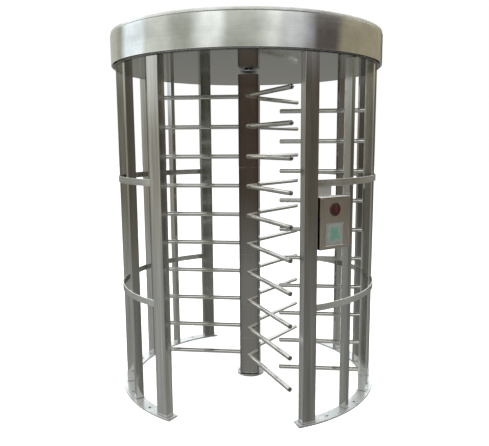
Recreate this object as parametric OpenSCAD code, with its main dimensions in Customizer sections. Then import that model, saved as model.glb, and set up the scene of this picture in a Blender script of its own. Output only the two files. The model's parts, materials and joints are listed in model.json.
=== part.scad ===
// Full-height visitor counter turnstile.
// A round cage of upright posts under a drum canopy, with a three-wing rotor that turns
// between the cage and a fixed comb of bars, and a counter box between two posts.
// Origin: centre of the cage on the floor. +X points to the comb side, -Y to the front, +Z up.

/* [Build] */
// Sub-part to build, or "all"

/* [Cage] */
// Outer diameter of the drum canopy, which sets the size of the whole cage
canopy_d = 1700; // [1500:10:2040]
// Distance from the canopy's outside in to the edge of the floor plates
base_inset = 2; // [0:1:20]
// Width of the curved floor plates
base_w = 76; // [70:1:120]
// Thickness of the curved floor plates
base_t = 10; // [6:1:16]
// Half arc of each floor plate, from the side axis
base_half_arc = 64; // [62:0.5:70]
// Diameter of the anchor holes in the floor plates
anchor_hole_d = 14; // [8:1:18]
// Distance from the canopy's outside in to the anchor holes
anchor_inset = 38; // [30:1:45]
// Side angle of the anchor holes nearest the middle of a side
anchor_angle_1 = 10; // [6:0.5:13]
// Side angle of the second anchor holes
anchor_angle_2 = 31; // [24:0.5:33]
// Side angle of the anchor holes nearest the opening
anchor_angle_3 = 49.5; // [44:0.5:52]
// Side angle of the uprights next to the middle one
upright_angle_1 = 18; // [16:0.5:20]
// Side angle of the uprights next to the end posts
upright_angle_2 = 38; // [36:0.5:41]
// Side angle of the wide posts beside the openings
end_post_angle = 59.3; // [57:0.1:60]
// Width of an upright along the ring
upright_w = 30; // [20:1:40]
// Depth of an upright towards the centre
upright_d = 50; // [30:1:55]
// Distance from the canopy's outside in to the outside of an upright
upright_inset = 25; // [22:1:30]
// Width of an end post along the ring
end_post_w = 84; // [60:1:101]
// Depth of an end post towards the centre
end_post_d = 50; // [40:1:55]
// Distance from the canopy's outside in to the outside of an end post
end_post_inset = 18; // [17:1:20]
// Wall thickness of uprights and end posts
post_wall = 2.5; // [1.5:0.5:4]
// Corner radius of uprights and end posts
post_corner_r = 3; // [2:0.5:5]
// Height of the flat hoop bars
hoop_h = 38; // [20:1:60]
// Thickness of the flat hoop bars
hoop_t = 6; // [3:0.5:6]
// Underside height of the upper hoops
upper_hoop_z = 1344; // [1200:1:1500]
// Underside height of the lower hoops
lower_hoop_z = 658; // [500:1:800]

/* [Canopy] */
// Height of the canopy's lower edge above the floor
canopy_z = 2048; // [1960:1:2460]
// Height of the canopy band
canopy_h = 172; // [140:1:240]
// Sheet thickness of the canopy band
band_t = 4; // [2:0.5:6]
// Width of the turned-in lip at the bottom and top of the band
lip_w = 30; // [20:0.5:40]
// Thickness of the turned-in lip
lip_t = 6; // [3:0.5:8]
// Distance from the band's underside down to the soffit's underside
soffit_drop = 10; // [6:1:16]
// Distance of the soffit's rim inside the canopy's outside
soffit_inset = 12; // [8:1:20]
// Thickness of the soffit panel
soffit_t = 4; // [2:0.5:5]
// Visible height of the lid above the band
lid_h = 18; // [12:1:30]
// Distance from the band's outside in to the lid's edge
lid_inset = 4; // [1:0.5:8]
// Height of the shadow groove under the lid
lid_groove_h = 4; // [2:0.5:6]
// Depth of the shadow groove under the lid
lid_groove_depth = 5; // [2:0.5:6]
// Width of the solid rim around the lid
lid_rim_w = 20; // [16:1:30]
// Thickness of the lid's top sheet
lid_top_t = 3; // [2:0.5:5]
// Number of lid screws
lid_screws_n = 8; // [4:1:12]
// Size of the square section of the carrying ring inside the canopy
ring_beam_w = 40; // [30:1:50]
// Width and height of the two cross beams
cross_beam_w = 50; // [40:1:60]
// Distance from the rotor axis to the middle of each cross beam
cross_beam_y = 120; // [100:1:150]
// Wall thickness of the cross beams
cross_beam_wall = 4; // [3:0.5:6]

/* [Rotor] */
// Sideways offset of the rotor axis towards the comb
rotor_x = 15; // [0:1:30]
// Width of the square rotor column
column_w = 130; // [108:1:156]
// Wall thickness of the rotor column
column_wall = 4; // [3:0.5:6]
// Corner radius of the rotor column
column_corner_r = 5; // [5:0.5:8]
// Gap between the floor socket and the column
column_floor_gap = 5; // [3:1:12]
// Gap between the column's top and the soffit
column_top_gap = 25; // [24:1:40]
// Number of bars in each wing, and in the comb
levels = 10; // [6:1:10]
// Height of the lowest rotor bar
level_z = 142; // [120:1:150]
// Vertical distance from bar to bar
level_pitch = 193; // [160:1:200]
// Outer diameter of the bars
bar_d = 28; // [20:0.1:40]
// Wall thickness of the bars
bar_wall = 2; // [1.5:0.5:4]
// Length of a rotor bar from the column's face to its tip
arm_len = 596; // [480:1:640]
// Rise of the domed end caps
cap_rise = 4; // [1:0.5:8]
// Depth that an end cap's plug reaches into its bar
cap_plug = 10; // [5:1:20]
// Width of the shallow seam lines around the column
seam_w = 2.5; // [1:0.5:5]
// Depth of the seam lines
seam_depth = 0.8; // [0.5:0.1:1.5]
// Bars between two seam lines
seam_every = 3; // [2:1:4]

/* [Comb] */
// Distance from the cage centre to the free ends of the comb bars
comb_inner_r = 213; // [180:1:300]

/* [Shaft and bearings] */
// Shaft diameter
shaft_d = 45; // [35:1:54]
// Outer diameter of the rolling bearing
bearing_d = 85; // [80:1:90]
// Width of the rolling bearing
bearing_w = 19; // [16:1:22]
// Wall thickness of each bearing ring
bearing_ring_t = 6; // [4:0.5:6]
// Number of bearing balls
balls_n = 14; // [8:1:16]
// Outer diameter of the bearing housing
housing_d = 110; // [104:1:120]
// Diameter of the flange on the bearing housing
housing_flange_d = 170; // [160:1:176]
// Thickness of the flange on the bearing housing
housing_flange_t = 12; // [8:1:16]
// Length that the bearing housing shows below the soffit
housing_drop = 4; // [2:1:5]
// Diameter of the flange that carries the column
shaft_flange_d = 112; // [100:1:120]
// Thickness of the flange that carries the column
shaft_flange_t = 8; // [6:1:9]
// Depth of the square spigot that fits in the column
spigot_h = 14; // [10:1:30]
// Diameter of the floor socket's plate
socket_d = 180; // [170:1:200]
// Thickness of the floor socket's plate
socket_t = 10; // [8:1:14]
// Outer diameter of the floor socket's boss
socket_boss_d = 80; // [70:1:90]
// Height of the floor socket's boss
socket_boss_h = 50; // [40:1:70]
// Pitch diameter of the floor socket's anchor holes
socket_pcd = 156; // [150:1:160]
// Diameter of the floor socket's anchor holes
socket_hole_d = 12; // [8:1:14]
// Diameter of the lower pivot pin
pivot_d = 30; // [20:1:36]
// Wall thickness of the lower bush
bush_wall = 7; // [4:0.5:10]

/* [Lock and counter] */
// Side length of the square head plate
head_plate_w = 400; // [380:1:460]
// Thickness of the head plate
head_plate_t = 10; // [8:1:16]
// Diameter of the slotted sensor disc
sensor_disc_d = 200; // [190:1:210]
// Thickness of the slotted sensor disc
sensor_disc_t = 3; // [2:0.5:4]
// Diameter of the lock ratchet
ratchet_d = 170; // [150:1:176]
// Thickness of the lock ratchet
ratchet_t = 10; // [8:1:12]
// Number of notches in the lock ratchet
notches_n = 12; // [12:12:12]
// Width of a notch
notch_w = 16; // [14:0.5:20]
// Depth of a notch
notch_depth = 14; // [12:0.5:18]
// Distance from the rotor axis to the pawl's pivot, sideways
pawl_x = 110; // [100:1:120]
// Distance from the rotor axis to the pawl's pivot, forwards
pawl_y = 82; // [80:1:90]
// Gap between the pawl's tooth and the ratchet when released
pawl_gap = 3; // [2:0.5:4]
// Width of the pawl's tooth
tooth_w = 11; // [8:0.5:12]
// Distance from the rotor axis to the solenoid, sideways
solenoid_x = 40; // [30:1:50]
// Diameter of the solenoid's plunger
plunger_d = 10; // [8:1:12]

/* [Counter box] */
// Angle of the counter box around the cage, from the comb side
box_angle = -49; // [-50:0.5:-48]
// Height of the box
box_h = 287; // [240:1:320]
// Depth of the box's shell
box_depth = 74; // [50:1:90]
// Height of the box's underside above the floor
box_z = 998; // [900:1:1040]
// Gap between the box's shell and the end post
box_gap_left = 4.5; // [2:0.5:15]
// Gap between the box's shell and the upright on its other side
box_gap_right = 15; // [4:0.5:20]
// Wall thickness of the box's shell
box_wall = 2; // [1:0.5:4]
// Thickness of the box's cover
cover_t = 6; // [3:0.5:8]
// Distance that the cover stands past the shell on each side
cover_lap = 5; // [0:0.5:6]
// Diameter of the round lamp lens
lens_d = 60; // [40:1:70]
// Width of the ring around the lamp lens
bezel_w = 7; // [4:0.5:10]
// Height of the lamp lens above the box's underside
lens_z = 218; // [190:1:225]
// Width of the lit window
window_w = 130; // [100:1:150]
// Height of the lit window
window_h = 126; // [80:1:140]
// Height of the window's middle above the box's underside
window_z = 82; // [75:1:90]
// Thickness of the bracket
bracket_t = 4; // [3:0.5:6]
// Width of the bracket
bracket_w = 96; // [60:1:110]

/* [Clearances] */
// Gap between welded or pressed parts and their neighbours
fit_gap = 0.3; // [0.2:0.05:0.5]
// Radial running gap of a pin in its bore
run_gap = 0.08; // [0.05:0.01:0.1]
// Gap around screws in their holes
screw_gap = 0.4; // [0.2:0.1:0.6]

/* [Hidden] */
$fn = 64;
eps = 0.5;
canopy_r = canopy_d / 2;
base_r_out = canopy_r - base_inset;
base_r_in = base_r_out - base_w;
anchor_r = canopy_r - anchor_inset;
upright_r_out = canopy_r - upright_inset;
end_r_out = canopy_r - end_post_inset;
hoop_r_in = norm([upright_r_out, upright_w / 2]) + fit_gap;
soffit_z = canopy_z - soffit_drop;
soffit_r = canopy_r - soffit_inset;
soffit_top = soffit_z + soffit_t;
band_top = canopy_z + canopy_h;
band_r_in = canopy_r - band_t;
lid_top = band_top + lid_h;
lid_r = canopy_r - lid_inset;
ring_beam_r = canopy_r - lip_w - fit_gap;
ring_beam_r_in = ring_beam_r - ring_beam_w;
beam_half = sqrt(pow(ring_beam_r_in - fit_gap, 2) - pow(cross_beam_y + cross_beam_w / 2, 2));
post_h = soffit_z - base_t;
column_z = socket_t + column_floor_gap;
column_top = soffit_z - column_top_gap;
column_h = column_top - column_z;
column_in = column_w - 2 * column_wall;
half_face = column_w / 2;
bar_r = bar_d / 2;
tube_len = arm_len - cap_rise;
comb_z = level_z - level_pitch / 2;
comb_len = upright_r_out - upright_d - comb_inner_r - cap_rise;
shaft_r = shaft_d / 2;
head_z = soffit_top + cross_beam_w;
head_top = head_z + head_plate_t;
housing_top = head_top + housing_flange_t;
bearing_z = housing_top - bearing_w;
ball_gap = 0.2;
inner_ring_r = shaft_r + bearing_ring_t;
outer_ring_r = bearing_d / 2 - bearing_ring_t;
ball_r = (outer_ring_r - inner_ring_r) / 2 - ball_gap;
ball_pitch_r = (outer_ring_r + inner_ring_r) / 2;
bolt_head_h = 8;
disc_z = housing_top + bolt_head_h + 6;
ratchet_z = disc_z + sensor_disc_t + 6;
shaft_top = ratchet_z + ratchet_t + 8;
hub_r = 34;
ratchet_r = ratchet_d / 2;
tooth_tip_y = ratchet_r + pawl_gap;
pawl_drop = 30;
pawl_z = ratchet_z + 0.5;
pawl_t = ratchet_t - 1;
pawl_pin_r = 8;
pawl_boss_r = 16;
push_gap = 0.6;
arm_low_y = pawl_y + pawl_boss_r - 1;
tooth_low_y = pawl_y + pawl_drop + 6;
push_slope = (tooth_low_y - arm_low_y) / (pawl_x + 3);
push_y = arm_low_y + (pawl_x - 5 - solenoid_x) * push_slope;
solenoid_y = push_y + 16;
bush_r = pivot_d / 2 + run_gap + bush_wall;
box_face = canopy_r - 22;
bracket_x = box_face - 16;
end_post_turn = -end_post_angle - box_angle;
upright_turn = -upright_angle_2 - box_angle;
end_post_side = (end_r_out - end_post_d) * sin(end_post_turn) + end_post_w / 2 * cos(end_post_turn);
upright_side = (upright_r_out - upright_d) * sin(upright_turn) - upright_w / 2 * cos(upright_turn);
box_w = upright_side - box_gap_right - end_post_side - box_gap_left;
box_shift = end_post_side + box_gap_left + box_w / 2;
box_top = box_z + box_h;
screw_r = 3;

// ---- shared shapes ----

// flat outline with round corners
module round_rect(x, y, r) {
    square([x - 2 * r, y], center = true);
    square([x, y - 2 * r], center = true);
    for (i = [-1, 1], j = [-1, 1])
        translate([i * (x / 2 - r), j * (y / 2 - r)]) circle(r);
}

// plate or bar bent round the cage: from angle a0 to a1
module ring_arc(r_in, r_out, h, a0, a1) {
    rotate([0, 0, a0])
        rotate_extrude(angle = a1 - a0, $fn = 180)
            translate([r_in, 0]) square([r_out - r_in, h]);
}

module ring(r_in, r_out, h) {
    difference() {
        cylinder(r = r_out, h = h);
        translate([0, 0, -1]) cylinder(r = r_in, h = h + 2);
    }
}

// hollow post whose outer face stands at radius r_out
module post(angle, r_out, w, d) {
    rotate([0, 0, angle])
        translate([r_out - d / 2, 0, base_t])
            difference() {
                linear_extrude(post_h) round_rect(d, w, post_corner_r);
                translate([0, 0, -1])
                    linear_extrude(post_h + 2)
                        square([d - 2 * post_wall, w - 2 * post_wall], center = true);
            }
}

module upright(angle) {
    color([0.45, 0.44, 0.42]) post(angle, upright_r_out, upright_w, upright_d);
}

module end_post(angle) {
    color([0.42, 0.4, 0.38]) post(angle, end_r_out, end_post_w, end_post_d);
}

// floor plate of one side, with its anchor holes
module base_ring(side) {
    color([0.72, 0.72, 0.7])
        difference() {
            ring_arc(base_r_in, base_r_out, base_t, side - base_half_arc, side + base_half_arc);
            for (a = [anchor_angle_1, anchor_angle_2, anchor_angle_3], s = [-1, 1])
                rotate([0, 0, side + s * a])
                    translate([anchor_r, 0, -1]) cylinder(d = anchor_hole_d, h = base_t + 2);
        }
}

// hoop of one side: its ends meet the sides of the end posts
module hoop(side, z) {
    end_half_w = end_post_w / 2 + 0.2;
    half_arc = end_post_angle - asin(end_half_w / (hoop_r_in + hoop_t / 2));
    color([0.66, 0.67, 0.65])
        translate([0, 0, z])
            difference() {
                ring_arc(hoop_r_in, hoop_r_in + hoop_t, hoop_h, side - half_arc - 1, side + half_arc + 1);
                for (s = [-1, 1])
                    rotate([0, 0, side + s * end_post_angle])
                        translate([canopy_r / 2, -end_half_w, -1])
                            cube([canopy_r, 2 * end_half_w, hoop_h + 2]);
                if (z == upper_hoop_z && side == 0) bracket_bolt_holes(z);
            }
}

// round bar along +X from the origin, hollow, with room for its end cap
module tube(len) {
    rotate([0, 90, 0])
        difference() {
            cylinder(r = bar_r, h = len);
            translate([0, 0, -1]) cylinder(r = bar_r - bar_wall, h = len + 2);
        }
}

// domed cap whose seat is at the origin and whose dome points along +X
module cap() {
    dome_r = (bar_r * bar_r + cap_rise * cap_rise) / (2 * cap_rise);
    rotate([0, 90, 0]) {
        intersection() {
            translate([0, 0, cap_rise - dome_r]) sphere(dome_r);
            cylinder(r = bar_r, h = cap_rise);
        }
        translate([0, 0, -cap_plug]) cylinder(r = bar_r - bar_wall - 0.1, h = cap_plug + 0.1);
    }
}

// place children at the foot of one wing: the middle of a column face, turned to the wing
module at_wing(wing, z) {
    foot = wing == "left" ? [-half_face, 0] : wing == "front" ? [0, -half_face] : [0, half_face];
    turn = wing == "left" ? 180 : wing == "front" ? -60 : 60;
    translate([rotor_x + foot[0], foot[1], z]) rotate([0, 0, turn]) children();
}

module wing_tubes(wing) {
    color([0.6, 0.59, 0.57])
        for (i = [0:levels - 1])
            difference() {
                at_wing(wing, level_z + i * level_pitch)
                    translate([-bar_d, 0, 0]) tube(tube_len + bar_d);
                translate([rotor_x - half_face, -half_face, column_z])
                    cube([column_w, column_w, column_h]);
            }
}

// place children in the counter box's frame: +X out of the cage, +Y to the right, box underside
module at_box() {
    rotate([0, 0, box_angle]) translate([0, box_shift, box_z]) children();
}

module bracket_bolt_holes(z) {
    translate([0, 0, -z])
        at_box()
            for (y = bracket_bolt_ys)
                translate([bracket_x - 20, y, upper_hoop_z + hoop_h / 2 - box_z])
                    rotate([0, 90, 0]) cylinder(r = screw_r + screw_gap, h = 60);
}
bracket_y0 = -box_w / 2 - 2;
bracket_bolt_ys = [bracket_y0 + 20, bracket_y0 + bracket_w - 20];

// ---- cage ----

module base_ring_left() { base_ring(180); }
module base_ring_right() { base_ring(0); }

module end_post_front_left() { end_post(180 + end_post_angle); }
module end_post_rear_left() { end_post(180 - end_post_angle); }
module end_post_front_right() { end_post(-end_post_angle); }
module end_post_rear_right() { end_post(end_post_angle); }

module upright_left_1() { upright(180 + upright_angle_2); }
module upright_left_2() { upright(180 + upright_angle_1); }
module upright_left_3() { upright(180); }
module upright_left_4() { upright(180 - upright_angle_1); }
module upright_left_5() { upright(180 - upright_angle_2); }
module upright_right_1() { upright(-upright_angle_2); }
module upright_right_2() { upright(-upright_angle_1); }
module upright_right_3() { upright(0); }
module upright_right_4() { upright(upright_angle_1); }
module upright_right_5() { upright(upright_angle_2); }

module upper_hoop_left() { hoop(180, upper_hoop_z); }
module upper_hoop_right() { hoop(0, upper_hoop_z); }
module lower_hoop_left() { hoop(180, lower_hoop_z); }
module lower_hoop_right() { hoop(0, lower_hoop_z); }

// fixed bars that fill the exit side, half a pitch below the rotor's bars
module comb_bars() {
    color([0.6, 0.59, 0.57])
        for (i = [0:levels - 1])
            translate([comb_inner_r + cap_rise, 0, comb_z + i * level_pitch]) tube(comb_len);
}

module comb_caps() {
    color([0.5, 0.49, 0.47])
        for (i = [0:levels - 1])
            translate([comb_inner_r + cap_rise, 0, comb_z + i * level_pitch])
                rotate([0, 0, 180]) cap();
}

// ---- canopy ----

module soffit_panel() {
    color([0.48, 0.48, 0.46])
        translate([0, 0, soffit_z])
            difference() {
                cylinder(r = soffit_r, h = soffit_t, $fn = 180);
                translate([rotor_x, 0, -1]) cylinder(r = housing_d / 2 + fit_gap, h = soffit_t + 2);
            }
}

module canopy_band() {
    lip_r = canopy_r - lip_w;
    color([0.62, 0.62, 0.6])
        difference() {
            rotate_extrude($fn = 180)
                polygon([
                    [lip_r, canopy_z], [canopy_r, canopy_z], [canopy_r, band_top], [lip_r, band_top],
                    [lip_r, band_top - lip_t], [band_r_in, band_top - lip_t],
                    [band_r_in, canopy_z + lip_t], [lip_r, canopy_z + lip_t]
                ]);
            lid_screw_holes();
        }
}

module canopy_lid() {
    groove_top = band_top + lid_groove_h;
    rim_in = lid_r - lid_rim_w;
    color([0.66, 0.66, 0.64])
        difference() {
            rotate_extrude($fn = 180)
                polygon([
                    [0, lid_top - lid_top_t], [rim_in, lid_top - lid_top_t], [rim_in, band_top],
                    [lid_r - lid_groove_depth, band_top], [lid_r - lid_groove_depth, groove_top],
                    [lid_r, groove_top], [lid_r, lid_top], [0, lid_top]
                ]);
            lid_screw_holes();
        }
}

lid_screw_r = canopy_r - lid_inset - lid_groove_depth - 4.5;

module lid_screw_holes() {
    for (i = [0:lid_screws_n - 1])
        rotate([0, 0, (i + 0.5) * 360 / lid_screws_n])
            translate([lid_screw_r, 0, band_top - lip_t - 2])
                cylinder(r = 2 + fit_gap, h = lid_h + lip_t + 4, $fn = 32);
}

// lid screws, head plate bolts and bearing housing bolts
module canopy_fasteners() {
    color([0.75, 0.75, 0.73]) {
        for (i = [0:lid_screws_n - 1])
            rotate([0, 0, (i + 0.5) * 360 / lid_screws_n])
                translate([lid_screw_r, 0, 0]) {
                    translate([0, 0, lid_top]) cylinder(r = 4, h = 2.5, $fn = 32);
                    translate([0, 0, band_top - lip_t])
                        cylinder(r = 2, h = lid_top - band_top + lip_t + 0.5, $fn = 32);
                }
        translate([rotor_x, 0, 0]) {
            for (i = [-1, 1], j = [-1, 1])
                translate([i * head_bolt_x, j * cross_beam_y, 0]) {
                    translate([0, 0, head_top]) cylinder(r = 9, h = bolt_head_h, $fn = 6);
                    translate([0, 0, head_z]) cylinder(r = 5, h = head_plate_t + 0.5);
                }
            for (a = [45:90:315])
                rotate([0, 0, a])
                    translate([housing_bolt_r, 0, 0]) {
                        translate([0, 0, housing_top]) cylinder(r = 8, h = bolt_head_h - 1, $fn = 6);
                        translate([0, 0, head_z]) cylinder(r = 4, h = housing_top - head_z + 0.5);
                    }
        }
    }
}
head_bolt_x = head_plate_w / 2 - 40;
housing_bolt_r = (housing_d + housing_flange_d) / 4;

// welded ring that the posts carry and that carries the canopy
module ring_beam() {
    color([0.4, 0.4, 0.4])
        translate([0, 0, soffit_top])
            rotate_extrude($fn = 180)
                translate([ring_beam_r_in, 0]) square([ring_beam_w, ring_beam_w]);
}

module cross_beams() {
    color([0.42, 0.42, 0.42])
        for (s = [-1, 1])
            translate([0, s * cross_beam_y, soffit_top + cross_beam_w / 2])
                difference() {
                    cube([2 * beam_half, cross_beam_w, cross_beam_w], center = true);
                    cube([2 * beam_half + 2, cross_beam_w - 2 * cross_beam_wall,
                        cross_beam_w - 2 * cross_beam_wall], center = true);
                }
}

module head_plate() {
    color([0.5, 0.5, 0.5])
        translate([rotor_x, 0, head_z])
            difference() {
                translate([-head_plate_w / 2, -head_plate_w / 2, 0])
                    cube([head_plate_w, head_plate_w, head_plate_t]);
                translate([0, 0, -1]) cylinder(r = housing_d / 2 + fit_gap, h = head_plate_t + 2);
                for (i = [-1, 1], j = [-1, 1])
                    translate([i * head_bolt_x, j * cross_beam_y, -1])
                        cylinder(r = 5 + screw_gap, h = head_plate_t + 2);
                for (a = [45:90:315])
                    rotate([0, 0, a])
                        translate([housing_bolt_r, 0, -1])
                            cylinder(r = 4 + screw_gap, h = head_plate_t + 2);
            }
}

module bearing_housing() {
    bottom = soffit_z - housing_drop;
    color([0.35, 0.35, 0.36])
        translate([rotor_x, 0, 0])
            difference() {
                union() {
                    translate([0, 0, bottom]) cylinder(d = housing_d, h = housing_top - bottom);
                    translate([0, 0, head_top]) cylinder(d = housing_flange_d, h = housing_flange_t);
                }
                translate([0, 0, bottom - 1]) cylinder(r = shaft_r + 3, h = housing_top - bottom + 2);
                translate([0, 0, bearing_z]) cylinder(d = bearing_d, h = bearing_w + 1);
                for (a = [45:90:315])
                    rotate([0, 0, a])
                        translate([housing_bolt_r, 0, head_top - 1])
                            cylinder(r = 4 + screw_gap, h = housing_flange_t + 2);
            }
}

module bearing_outer_ring() {
    color([0.7, 0.7, 0.72])
        translate([rotor_x, 0, bearing_z]) ring(outer_ring_r, bearing_d / 2 - 0.05, bearing_w);
}

// two forks whose slots straddle the sensor disc
module sensor_forks() {
    fork_x = housing_flange_d / 2 + 3;
    fork_l = sensor_disc_d / 2 + 22 - fork_x;
    color([0.15, 0.15, 0.16])
        translate([rotor_x, 0, 0])
            for (a = [75, 105])
                rotate([0, 0, a])
                    difference() {
                        translate([fork_x, -14, head_top]) cube([fork_l, 28, disc_z + 14 - head_top]);
                        translate([fork_x - 1, -15, disc_z - 4])
                            cube([sensor_disc_d / 2 + 4 - fork_x, 30, sensor_disc_t + 8]);
                    }
}

module pawl_pivot() {
    color([0.65, 0.65, 0.66])
        translate([rotor_x + pawl_x, -pawl_y, head_top]) {
            cylinder(r = pawl_boss_r - 3, h = pawl_z - head_top - fit_gap);
            cylinder(r = pawl_pin_r, h = pawl_z + pawl_t + 4 - head_top);
        }
}

module solenoid_body() {
    body_l = 58;
    body_w = 44;
    z0 = head_top;
    color([0.2, 0.2, 0.22])
        translate([rotor_x + solenoid_x, -solenoid_y - body_l, 0])
            difference() {
                translate([-body_w / 2, 0, z0])
                    cube([body_w, body_l, pawl_z + pawl_t / 2 + body_w / 2 - z0]);
                translate([0, -1, pawl_z + pawl_t / 2])
                    rotate([-90, 0, 0]) cylinder(r = plunger_d / 2 + run_gap, h = body_l + 2);
            }
}

// controller that counts the passages, on the soffit behind the cross beams
module control_box() {
    color([0.3, 0.31, 0.32])
        translate([-560, cross_beam_y + cross_beam_w / 2 + 40, soffit_top])
            difference() {
                cube([260, 150, 70]);
                translate([3, 3, 3]) cube([254, 144, 64]);
            }
}

// ---- floor bearing ----

module floor_socket() {
    color([0.6, 0.6, 0.58])
        translate([rotor_x, 0, 0])
            difference() {
                union() {
                    cylinder(d = socket_d, h = socket_t);
                    cylinder(d = socket_boss_d, h = socket_t + socket_boss_h);
                }
                translate([0, 0, 6]) cylinder(r = bush_r + 0.05, h = socket_t + socket_boss_h);
                for (a = [0:90:270])
                    rotate([0, 0, a])
                        translate([socket_pcd / 2, 0, -1]) cylinder(d = socket_hole_d, h = socket_t + 2);
            }
}

module lower_bush() {
    color([0.72, 0.55, 0.3])
        translate([rotor_x, 0, 6])
            ring(pivot_d / 2 + run_gap, bush_r, socket_t + socket_boss_h - 6);
}

// ---- counter box ----

module box_bracket() {
    color([0.52, 0.51, 0.5])
        at_box()
            difference() {
                union() {
                    translate([bracket_x - bracket_t, bracket_y0, box_h])
                        cube([bracket_t, bracket_w, upper_hoop_z + hoop_h - 4 - box_top]);
                    translate([bracket_x - 44, bracket_y0, box_h]) cube([44, bracket_w, bracket_t]);
                }
                for (y = bracket_bolt_ys)
                    translate([bracket_x - 20, y, upper_hoop_z + hoop_h / 2 - box_z])
                        rotate([0, 90, 0]) cylinder(r = screw_r + screw_gap, h = 40);
            }
}

module box_case() {
    color([0.5, 0.48, 0.45])
        at_box()
            difference() {
                translate([box_face - box_depth, -box_w / 2, 0]) cube([box_depth, box_w, box_h]);
                translate([box_face - box_depth + box_wall, -box_w / 2 + box_wall, box_wall])
                    cube([box_depth, box_w - 2 * box_wall, box_h - 2 * box_wall]);
            }
}

module box_cover() {
    color([0.5, 0.47, 0.43])
        at_box()
            difference() {
                translate([box_face, -box_w / 2 - cover_lap, 0])
                    cube([cover_t, box_w + 2 * cover_lap, box_h]);
                translate([box_face - 1, lens_y, lens_z])
                    rotate([0, 90, 0]) cylinder(d = lens_d + 2 * fit_gap, h = cover_t + 2);
                translate([box_face - 1, lens_y - window_w / 2 - fit_gap, window_z - window_h / 2 - fit_gap])
                    cube([cover_t + 2, window_w + 2 * fit_gap, window_h + 2 * fit_gap]);
                box_screw_places() cylinder(r = screw_r + screw_gap, h = 30, center = true);
            }
}
lens_y = -3;

// screws in the four corners of the cover
module box_screw_places() {
    for (y = [-1, 1], z = [0, 1])
        translate([box_face, y * (box_w / 2 - 7), z == 0 ? 8 : box_h - 8])
            rotate([0, 90, 0]) children();
}

module lens_bezel() {
    color([0.3, 0.3, 0.3])
        at_box()
            translate([box_face + cover_t, lens_y, lens_z])
                rotate([0, 90, 0])
                    difference() {
                        cylinder(d = lens_d + 2 * bezel_w, h = 4);
                        translate([0, 0, -1]) cylinder(d = lens_d + 2 * fit_gap, h = 6);
                    }
}

module red_lens() {
    rise = 6;
    dome_r = (pow(lens_d / 2, 2) + rise * rise) / (2 * rise);
    color([0.35, 0.03, 0.04])
        at_box()
            translate([box_face - 2, lens_y, lens_z])
                rotate([0, 90, 0]) {
                    cylinder(d = lens_d, h = cover_t + 4);
                    translate([0, 0, cover_t + 4])
                        intersection() {
                            translate([0, 0, rise - dome_r]) sphere(dome_r);
                            cylinder(d = lens_d, h = rise);
                        }
                }
}

module green_window() {
    color([0.6, 0.75, 0.6])
        at_box()
            translate([box_face - 2, lens_y - window_w / 2, window_z - window_h / 2])
                cube([cover_t + 1, window_w, window_h]);
}

// circuit board on four posts, with lamps behind the lens and the window
module counter_board() {
    board_x = box_face - 24;
    color([0.1, 0.35, 0.2])
        at_box() {
            translate([board_x, -box_w / 2 + 14, 14]) cube([2, box_w - 28, box_h - 28]);
            for (y = [-1, 1], z = [22, box_h - 22])
                translate([box_face - box_depth + box_wall, y * (box_w / 2 - 22), z])
                    rotate([0, 90, 0]) cylinder(r = 4, h = box_depth - 24 - box_wall);
            translate([board_x + 2, lens_y, lens_z]) rotate([0, 90, 0]) cylinder(r = 18, h = 10);
            for (i = [-1, 0, 1], j = [-1, 0, 1])
                translate([board_x + 2, lens_y + i * window_w / 3.4, window_z + j * window_h / 3.4])
                    rotate([0, 90, 0]) cylinder(r = 5, h = 8);
        }
}

// cover screws, and the two bolts through bracket and hoop
module box_screws() {
    color([0.7, 0.7, 0.68]) {
        at_box() {
            box_screw_places() {
                translate([0, 0, cover_t]) cylinder(r = 5.5, h = 2.5);
                translate([0, 0, -8]) cylinder(r = screw_r, h = cover_t + 8.5);
            }
            for (y = bracket_bolt_ys)
                translate([bracket_x, y, upper_hoop_z + hoop_h / 2 - box_z])
                    rotate([0, 90, 0]) {
                        translate([0, 0, -bracket_t - 4]) cylinder(r = 6, h = 4, $fn = 6);
                        translate([0, 0, -bracket_t - 1])
                            cylinder(r = screw_r, h = bolt_reach(y) + bracket_t + 2);
                        translate([0, 0, bolt_reach(y)]) cylinder(r = 6, h = 4);
                    }
        }
    }
}
// distance from the bracket's face to the outside of the hoop at sideways place y
function bolt_reach(y) = sqrt(pow(hoop_r_in + hoop_t, 2) - pow(y + box_shift, 2)) - bracket_x + 1.2;

// ---- rotor ----

module rotor_column() {
    color([0.36, 0.34, 0.31])
        translate([rotor_x, 0, 0])
            difference() {
                translate([0, 0, column_z])
                    linear_extrude(column_h) round_rect(column_w, column_w, column_corner_r);
                translate([-column_in / 2, -column_in / 2, column_z - 1])
                    cube([column_in, column_in, column_h + 2]);
                for (i = [seam_every - 2:seam_every:levels - 2])
                    translate([0, 0, level_z + (i - 0.37) * level_pitch])
                        linear_extrude(seam_w)
                            difference() {
                                square(column_w + 2, center = true);
                                square(column_w - 2 * seam_depth, center = true);
                            }
            }
}

module arms_left() { wing_tubes("left"); }
module arms_front_right() { wing_tubes("front"); }
module arms_rear_right() { wing_tubes("rear"); }

module arm_caps() {
    color([0.5, 0.49, 0.47])
        for (wing = ["left", "front", "rear"], i = [0:levels - 1])
            at_wing(wing, level_z + i * level_pitch) translate([tube_len, 0, 0]) cap();
}

module drive_shaft() {
    color([0.6, 0.6, 0.6])
        translate([rotor_x, 0, column_top - spigot_h])
            cylinder(r = shaft_r, h = shaft_top - column_top + spigot_h);
}

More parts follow.
